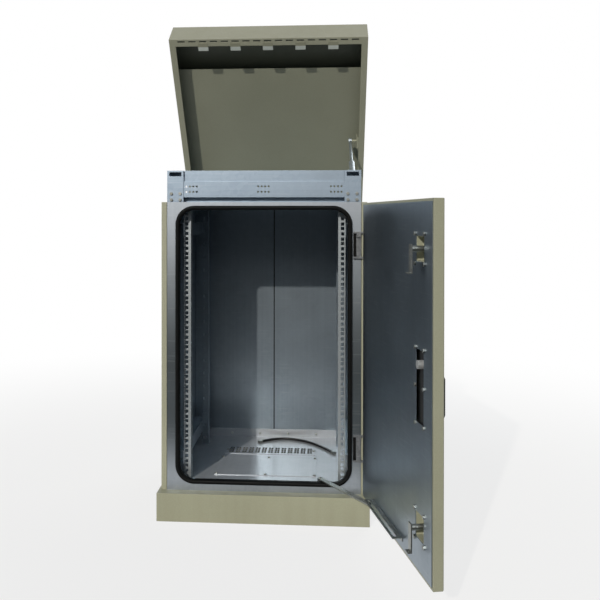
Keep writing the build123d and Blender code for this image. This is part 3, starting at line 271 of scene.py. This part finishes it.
# The hinge brackets take a darker copy of the plated hardware: painted shade for the dark edges round the
# hinges.
shaded_bracket_zinc = zinc_plated_steel("shade_darkened_bracket_zinc", "#8B8E91", "#75787C", 0.44)
hinge_zinc = zinc_plated_steel("yellow_passivated_hinges", "#8F8D70", "#77755B", 0.42)
polished = zinc_plated_steel("bright_plated_spindles", "#D0D3D4", "#BFC2C3", 0.34, 0.6)
strut_silver = zinc_plated_steel("satin_silver_strut", "#B9C3C9", "#A8B2B9", 0.46)
clip_steel = lip_split_spring_clips("lip_split_spring_clips", "#CBD1CB", "#868774", HOOD_LIP)
seal_rubber = moulded_black("epdm_rubber", "#050606", "#0B0C0C", 0.55, 0.8, 0.04, 0.12)
lead_sheath = moulded_black("pvc_lead_sheath", "#0A0B0C", "#14161A", 0.42, 1.2, 0.05)
lock_nylon = moulded_black("glass_filled_nylon", "#121314", "#1C1E20", 0.48, 0.6, 0.06)
mastic = moulded_black("seam_mastic", "#0C0E10", "#15181A", 0.70, 2.0, 0.10)

finishes = {
    paint: ("left_side_panel", "right_side_panel", "rear_panel", "door_shell", "latch_cases", "strut_bracket"),
    hood_paint: ("hood_shell",),
    hood_liner_shaded_paint: ("hood_liner",),
    plinth_paint: ("plinth",),
    wall_zinc: ("left_inner_wall", "right_inner_wall", "rear_wall_left", "rear_wall_right", "ceiling_plate",
                "left_top_rail", "right_top_rail", "rear_beam", "left_rail_brackets", "right_rail_brackets",
                "rear_left_rail", "rear_right_rail"),
    floor_zinc: ("floor_tray", "gland_plate", "floor_grille"),
    frame_zinc: ("front_frame",),
    shaded_bracket_zinc: ("hinge_brackets",),
    header_zinc: ("header_beam", "left_header_bracket", "right_header_bracket"),
    liner_zinc: ("door_liner",),
    rail_zinc: ("front_left_rail", "front_right_rail"),
    hardware: ("floor_screws", "header_screws", "stay_bracket", "stay_arm", "stay_rail", "strut_stud",
               "hood_fixed_leaves", "hood_moving_leaves", "top_cam", "bottom_cam", "latch_nuts", "lead_lugs"),
    clip_steel: ("hood_clips",),
    hinge_zinc: ("hinge_leaves",),
    polished: ("lock_spindle",),
    strut_silver: ("strut_cylinder", "strut_rod"),
    seal_rubber: ("door_seal",),
    lead_sheath: ("earth_lead",),
    lock_nylon: ("lock_case", "lock_base", "handle"),
}
for finish, names in finishes.items():
    for name in names:
        mesh = cabinet_nodes[name].data
        mesh.materials.clear()
        mesh.materials.append(finish)


# The camera fitted to the rack holes and the cabinet's edges: place in metres, turns in radians, focal length
# and optical centre in pixels, and the width of a common sensor in millimetres
CAMERA_AT = (0.1801, -2.5629, 0.8853)
YAW, PITCH, ROLL = -0.07267, 0.00537, 0.00108
FOCAL = 787.9
CENTRE = (267.5, 222.9)
SENSOR = 36


def photo_camera():
    """The viewpoint of the photograph."""
    level = Vector((math.sin(YAW), math.cos(YAW), 0))
    across = Vector((math.cos(YAW), -math.sin(YAW), 0))
    up = Vector((0, 0, 1))
    ahead = math.cos(PITCH) * level - math.sin(PITCH) * up
    over = math.cos(PITCH) * up + math.sin(PITCH) * level
    right = math.cos(ROLL) * across + math.sin(ROLL) * over
    top = math.cos(ROLL) * over - math.sin(ROLL) * across
    data = bpy.data.cameras.new("photo_camera")
    data.sensor_width = SENSOR
    data.lens = FOCAL * SENSOR / IMAGE
    data.shift_x = (IMAGE / 2 - CENTRE[0]) / IMAGE
    data.shift_y = (CENTRE[1] - IMAGE / 2) / IMAGE
    camera = bpy.data.objects.new("photo_camera", data)
    bpy.context.scene.collection.objects.link(camera)
    facing = Matrix((right, top, -ahead)).transposed().to_4x4()
    camera.matrix_world = Matrix.Translation(CAMERA_AT) @ facing
    bpy.context.scene.camera = camera


photo_camera()

# The earth lead: the route of the tube in the part's source, in metres
LEAD_ROUTE = [(-0.037, 0.174, 0.109), (0.018, 0.222, 0.109), (0.096, 0.200, 0.109), (0.160, 0.142, 0.109),
              (0.206, 0.064, 0.109)]


def earth_lead():
    """The sheathed lead between its two lugs, free on the floor."""
    curve = bpy.data.curves.new("earth_lead_sheath", "CURVE")
    curve.dimensions = "3D"
    curve.bevel_depth = 4 * MM
    curve.bevel_resolution = 6
    curve.resolution_u = 16
    curve.use_fill_caps = True
    spline = curve.splines.new("NURBS")
    spline.points.add(len(LEAD_ROUTE) - 1)
    for point, place in zip(spline.points, LEAD_ROUTE):
        point.co = (*place, 1)
    spline.order_u = 3
    spline.use_endpoint_u = True
    curve.materials.append(lead_sheath)
    lead = bpy.data.objects.new("earth_lead_sheath", curve)
    bpy.context.scene.collection.objects.link(lead)
    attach(lead, "cabinet")
    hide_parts("earth_lead")


earth_lead()


# Places of the cabinet that the pieces below sit on, in metres: the front frame, the rear wall, the face of
# the tray's rear flange and the top of the floor, and the door opening's width and height, middle and corners
FRAME_Y = -0.258
REAR_WALL_Y = 0.247
FLANGE_Y = 0.2455
FLOOR_TOP = 0.1065
OPENING = (0.501, 0.802)
OPENING_MID = 0.513
OPENING_R = 0.046


def fitted_piece(name, shape, finish, smooth=True):
    """A finished shape as a piece of the fixed cabinet."""
    mesh = bpy.data.meshes.new(name)
    shape.to_mesh(mesh)
    shape.free()
    made = bpy.data.objects.new(name, mesh)
    bpy.context.scene.collection.objects.link(made)
    mesh.materials.append(finish)
    for face in mesh.polygons:
        face.use_smooth = smooth
    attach(made, "cabinet")
    return made


def round_the_opening(arc_steps):
    """Points and outward directions round the edge of the door opening, in width and height."""
    half_w, half_h = OPENING[0] / 2 - OPENING_R, OPENING[1] / 2 - OPENING_R
    for quarter, (side, level) in enumerate(((1, 1), (-1, 1), (-1, -1), (1, -1))):
        for step in range(arc_steps + 1):
            turn = (quarter + step / arc_steps) * math.pi / 2
            way = Vector((math.cos(turn), math.sin(turn)))
            yield Vector((side * half_w, OPENING_MID + level * half_h)) + OPENING_R * way, way


def seal_bulb():
    """The door seal as extruded: a hollow-looking bulb on a channel that grips the edge of the sheet."""
    # Section in millimetres: outwards from the edge, and ahead of the frame's face
    grip = [(-3.8, -1.0), (-3.8, -4.9), (4.9, -4.9), (4.9, -2.1), (0.1, -2.1), (0.1, 0.1), (9.2, 0.1)]
    bulb_mid, bulb_r = (3, 5.1), 6.3
    turns = [math.radians(degrees) for degrees in range(-18, 200, 14)]
    bulb = [(bulb_mid[0] + bulb_r * math.cos(turn), bulb_mid[1] + bulb_r * math.sin(turn)) for turn in turns]
    section = grip + bulb
    rings = bmesh.new()
    loops = []
    for point, way in round_the_opening(14):
        loops.append([
            rings.verts.new((point.x + way.x * out * MM, FRAME_Y - ahead * MM, point.y + way.y * out * MM))
            for out, ahead in section])
    for near, far in zip(loops, loops[1:] + loops[:1]):
        for i in range(len(section)):
            j = (i + 1) % len(section)
            rings.faces.new((near[i], near[j], far[j], far[i]))
    bmesh.ops.recalc_face_normals(rings, faces=rings.faces)
    seal = fitted_piece("door_seal_bulb", rings, seal_rubber)
    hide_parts("door_seal")


seal_bulb()


def seam_bead():
    """The run of mastic that closes the joint of the two rear wall sheets."""
    bead = bmesh.new()
    # Section in millimetres: across the joint, and out of the wall; levels in metres
    section = [(-2.0, 0.0), (-1.5, 0.5), (-0.6, 0.8), (0.6, 0.8), (1.5, 0.5), (2.0, 0.0)]
    levels = (0.134, 0.4, 0.66, 0.9295)
    rows = [[bead.verts.new((x * MM, REAR_WALL_Y - out * MM, z)) for x, out in section] for z in levels]
    for below, above in zip(rows, rows[1:]):
        for n in range(len(section) - 1):
            bead.faces.new((below[n], below[n + 1], above[n + 1], above[n]))
    bmesh.ops.recalc_face_normals(bead, faces=bead.faces)
    fitted_piece("seam_bead", bead, mastic)


seam_bead()


# The air grille in millimetres: half its width and depth, its middle behind the frame, the steps of its
# groups and rows, the middle of a slot in its group, and half a slot's width and length
GRILLE_HALF = (150, 43.5)
GRILLE_BACK = 335.5
GROUPS, GROUP_STEP, ROW_STEP = 13, 21.8, 21.2
SLOT_ASIDE = 4.2
SLOT_HALF = (3.2, 9.3)


def air_grille():
    """The air grille in the floor: one punched sheet, thirteen groups of two slots in three rows."""
    def edges(half, pairs):
        return [-half] + [edge for pair in pairs for edge in pair] + [half]

    across = [GROUP_STEP * (n - GROUPS // 2) + x for n in range(GROUPS) for x in (-SLOT_ASIDE, SLOT_ASIDE)]
    columns = edges(GRILLE_HALF[0], [(x - SLOT_HALF[0], x + SLOT_HALF[0]) for x in across])
    back = [ROW_STEP * n for n in (-1, 0, 1)]
    rows = edges(GRILLE_HALF[1], [(y - SLOT_HALF[1], y + SLOT_HALF[1]) for y in back])
    sheet = bmesh.new()
    grid = [[sheet.verts.new((x * MM, FRAME_Y + (GRILLE_BACK + y) * MM, FLOOR_TOP)) for x in columns]
            for y in rows]
    for j in range(len(rows) - 1):
        for i in range(len(columns) - 1):
            if not (i % 2 and j % 2):
                sheet.faces.new((grid[j][i], grid[j][i + 1], grid[j + 1][i + 1], grid[j + 1][i]))
    grille = fitted_piece("air_grille", sheet, floor_zinc, smooth=False)
    thick = grille.modifiers.new("sheet_thickness", "SOLIDIFY")
    thick.thickness = 1.5 * MM
    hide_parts("floor_grille")


air_grille()


def flange_rivets():
    """Blind rivets that hold the rear flange of the tray: a domed rim round the dark hole of the mandrel."""
    # From the hole to the rim, in millimetres: radius, and height over the flange
    outline = [(1.2, 0.5), (1.4, 1.5), (2.2, 1.9), (3.4, 1.5), (4.2, 0.5), (4.4, 0.0)]
    # Places along the flange and their height, in metres
    places, level = (-0.15, -0.05, 0.05, 0.15), 0.1175
    steps = 20
    turns = [2 * math.pi * n / steps for n in range(steps)]
    turned = bmesh.new()
    for x in places:
        rings = []
        for radius, height in outline:
            rings.append([turned.verts.new((x + radius * MM * math.cos(turn), FLANGE_Y - height * MM,
                                            level + radius * MM * math.sin(turn))) for turn in turns])
        turned.faces.new(rings[0])
        for inner, outer in zip(rings, rings[1:]):
            for n in range(steps):
                turned.faces.new((inner[n], outer[n], outer[(n + 1) % steps], inner[(n + 1) % steps]))
    bmesh.ops.recalc_face_normals(turned, faces=turned.faces)
    fitted_piece("flange_rivets", turned, hardware)


flange_rivets()


# Heights of the middles of the two door hinges, in millimetres
HINGE_MIDS = (217, 809)


def upright(pieces, outline, low, high):
    """Adds a prism on an outline in millimetres, from one height to the other, to a mesh in the making."""
    rings = [[pieces.verts.new((x * MM, FRAME_Y + y * MM, z * MM)) for x, y in outline] for z in (low, high)]
    for ring in rings:
        pieces.faces.new(ring)
    for n in range(len(outline)):
        m = (n + 1) % len(outline)
        pieces.faces.new((rings[0][n], rings[0][m], rings[1][m], rings[1][n]))


def hinge_trim():
    """What sits on the plates of the door hinge brackets: gussets that thicken the ears, and a black strip of
    painted shade where the slot beside them is dark. Outlines are in millimetres from above: across, and back
    from the frame's face."""
    gusset = [(272, -2.5), (272, -8), (273, -9), (283.5, -9), (284.5, -8), (284.5, -2.5)]
    # Outline of the black strip: painted shade in the slot beside the hinge.
    lip = [(263, -2.5), (263.4, -3.3), (271, -3.3), (271.4, -2.5)]
    # Ends of a gusset, in millimetres above or below the hinge's middle
    near_end, far_end = 23, 34
    gussets, slot_shade_strips = bmesh.new(), bmesh.new()
    for mid in HINGE_MIDS:
        for end in (-1, 1):
            upright(gussets, gusset, mid + end * near_end, mid + end * far_end)
        upright(slot_shade_strips, lip, mid - far_end, mid + far_end)
    for name, shape, finish, slot in (("hinge_gussets", gussets, shaded_bracket_zinc, "zinc_steel"),
                                      ("hinge_slot_shade_strips", slot_shade_strips, seal_rubber, "rubber")):
        bmesh.ops.recalc_face_normals(shape, faces=shape.faces)
        fitted_piece(name, shape, finish, smooth=False)


hinge_trim()


WHITE = (1, 1, 1, 1)
# The studio: the direction of the key, and in metres the place of the fill, what it points at, the floor's
# radius, and half the plinth's width and depth (the height is left as it is)
KEY_FROM = Vector((-0.284, -0.849, 0.446))
FILL_FROM = Vector((1.4, 3.4, 2.2))
CABINET_MID = Vector((0, 0, 0.8))
FLOOR_R = 14
PLINTH_HALF = (0.307, 0.289, 1.0)


def seen_directly(tree):
    """1 for rays that show the background: camera, mirror and glass rays."""
    path = add(tree, "LightPath").outputs
    mirror = add(tree, "Math", LARGER, {0: path["Is Glossy Ray"], 1: path["Is Transmission Ray"]})
    shown = add(tree, "Math", LARGER, {0: path["Is Camera Ray"], 1: mirror.outputs["Value"]})
    return shown.outputs["Value"]


def stage_sheet(name, corners, colour):
    """Flat panels of the studio, four corners each, outside the object."""
    mesh = bpy.data.meshes.new(name)
    mesh.from_pydata(corners, [], [tuple(range(i, i + 4)) for i in range(0, len(corners), 4)])
    sheet = bpy.data.objects.new(name, mesh)
    bpy.context.scene.collection.objects.link(sheet)
    material, tree, shader, place = finish_named(name + "_cloth")
    nap = add(tree, "TexNoise", None, {"Vector": place, "Scale": per_metre(600), "Detail": 2.0}).outputs["Fac"]
    shade = add(tree, "Mix", COLOUR, {"Factor": nap, "A": linear(colour), "B": linear("#2A3036")})
    plug(tree, shader, {"Base Color": shade.outputs["Result"], "Roughness": 1.0})
    mesh.materials.append(material)
    return sheet


def studio():
    """A pale floor and backdrop, a dome of soft light, a key from the front left, a fill behind, and a dark
    flag in front that only the bare metal mirrors."""
    scene = bpy.context.scene
    scene.view_settings.view_transform = "Standard"
    world = bpy.data.worlds.new("soft_dome")
    world.use_nodes = True
    scene.world = world
    tree = world.node_tree
    ray = add(tree, "TexCoord").outputs["Generated"]
    height = add(tree, "SeparateXYZ", None, {"Vector": ray}).outputs["Z"]
    rise = add(tree, "MapRange", None, {"Value": height, "From Min": -0.1, "From Max": 1.0}).outputs["Result"]
    dome = add(tree, "Mix", COLOUR, {"Factor": rise, "A": linear("#474C52"), "B": linear("#858C94")})
    shown = add(tree, "Mix", COLOUR,
                {"Factor": seen_directly(tree), "A": dome.outputs["Result"], "B": WHITE})
    plug(tree, tree.nodes["Background"], {"Color": shown.outputs["Result"]})

    key = bpy.data.lights.new("key", "SUN")
    key.energy = 2.3
    key.angle = math.radians(1.0)
    key.color = linear("#FFF9F0")[:3]
    lamp = bpy.data.objects.new("key", key)
    lamp.rotation_mode = "QUATERNION"
    lamp.rotation_quaternion = KEY_FROM.to_track_quat("Z", "Y")
    scene.collection.objects.link(lamp)

    fill = bpy.data.lights.new("rear_fill", "AREA")
    fill.energy = 60
    fill.size = 2.4
    soft = bpy.data.objects.new("rear_fill", fill)
    soft.location = FILL_FROM
    soft.rotation_mode = "QUATERNION"
    soft.rotation_quaternion = (FILL_FROM - CABINET_MID).to_track_quat("Z", "Y")
    scene.collection.objects.link(soft)

    disc = bmesh.new()
    bmesh.ops.create_circle(disc, cap_ends=True, segments=96, radius=FLOOR_R)
    mesh = bpy.data.meshes.new("pale_floor")
    disc.to_mesh(mesh)
    disc.free()
    floor = bpy.data.objects.new("pale_floor", mesh)
    scene.collection.objects.link(floor)
    material, tree, shader, place = finish_named("pale_floor_paint")
    grain = add(tree, "TexNoise", None, {"Vector": place, "Scale": per_metre(900), "Detail": 2.0})
    shade = add(tree, "Mix", COLOUR,
                {"Factor": grain.outputs["Fac"], "A": linear("#C6C6C4"), "B": linear("#CECECC")})
    plug(tree, shader, {"Base Color": shade.outputs["Result"], "Roughness": 0.8})
    # Away from the object the floor fades into the white backdrop; near it the shadow stays.
    away = add(tree, "VectorMath", {"operation": "LENGTH"}, {0: place}).outputs["Value"]
    fade = add(tree, "MapRange", SMOOTH,
               {"Value": away, "From Min": 0.7, "From Max": 3.0,
                "To Min": 0.76, "To Max": 1.0}).outputs["Result"]
    # Under the plinth the floor has only the light that comes through the grille.
    aside = add(tree, "VectorMath", {"operation": "ABSOLUTE"}, {0: place}).outputs["Vector"]
    ratio = add(tree, "VectorMath", {"operation": "DIVIDE"}, {0: aside, 1: PLINTH_HALF}).outputs["Vector"]
    across = add(tree, "SeparateXYZ", None, {"Vector": ratio}).outputs
    outside = add(tree, "Math", LARGER, {0: across["X"], 1: across["Y"]}).outputs["Value"]
    open_air = add(tree, "MapRange", None, {"Value": outside, "From Min": 0.985, "From Max": 1.0,
                                            "To Max": seen_directly(tree)}).outputs["Result"]
    share = add(tree, "Math", TIMES, {0: fade, 1: open_air}).outputs["Value"]
    white = add(tree, "Emission", None, {"Color": WHITE, "Strength": 1.0}).outputs["Emission"]
    blend = add(tree, "MixShader", None, {0: share, 1: shader.outputs["BSDF"], 2: white})
    plug(tree, tree.nodes["Material Output"], {"Surface": blend.outputs["Shader"]})
    mesh.materials.append(material)

    near, far, half, lift, top = -0.95, -6, 5, 0.002, 2.6
    flag = stage_sheet("dark_flag", [
        (-half, near, lift), (half, near, lift), (half, far, lift), (-half, far, lift),
        (-half, far, lift), (half, far, lift), (half, far, top), (-half, far, top)], "#20262B")
    flag.visible_camera = False
    flag.visible_diffuse = False
    flag.visible_transmission = False
    flag.visible_shadow = False


studio()
